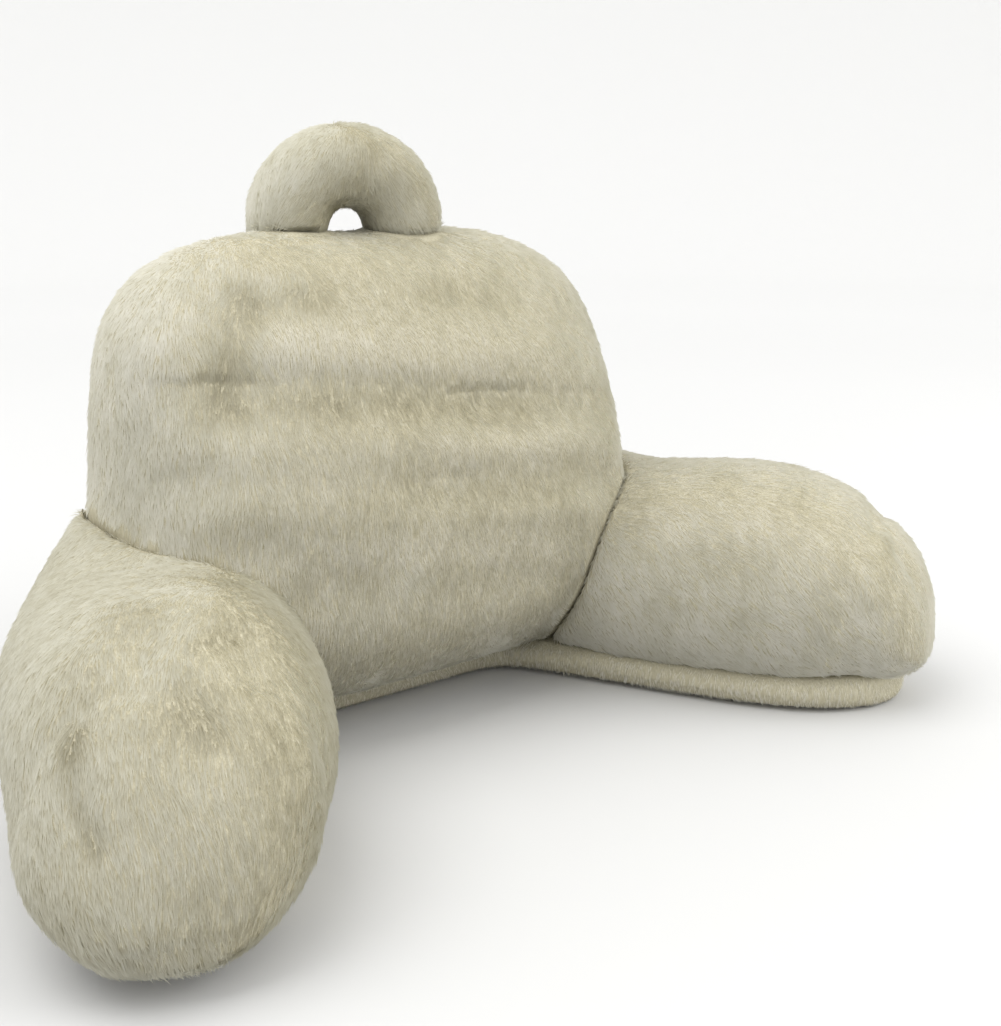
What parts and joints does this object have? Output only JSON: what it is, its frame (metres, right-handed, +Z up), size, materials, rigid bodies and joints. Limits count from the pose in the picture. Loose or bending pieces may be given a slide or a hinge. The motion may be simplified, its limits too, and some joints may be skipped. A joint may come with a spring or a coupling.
{
  "type": "back support pillow",
  "caption": "Upright filled backrest pillow with two curved arms, a stuffed carry loop and a U-shaped base panel, in short-pile cloth.",
  "frame": {"origin": "middle of the pillow's plan, on the surface that it rests on", "axes": "+Z up, +X along the width from arm to arm, -Y towards the seat side"},
  "size_m": [0.8287, 0.4406, 0.4993],
  "materials": {
    "pile_back": "short-pile faux fur",
    "pile_arm": "short-pile faux fur",
    "pile_handle": "short-pile faux fur",
    "pile_base": "short-pile faux fur"
  },
  "bodies": {
    "root": {"back_cushion": "pile_back", "arm_left": "pile_arm", "arm_right": "pile_arm", "arm_end_left": "pile_arm", "arm_end_right": "pile_arm", "carry_handle": "pile_handle", "base_panel": "pile_base"}
  },
  "joints": []
}
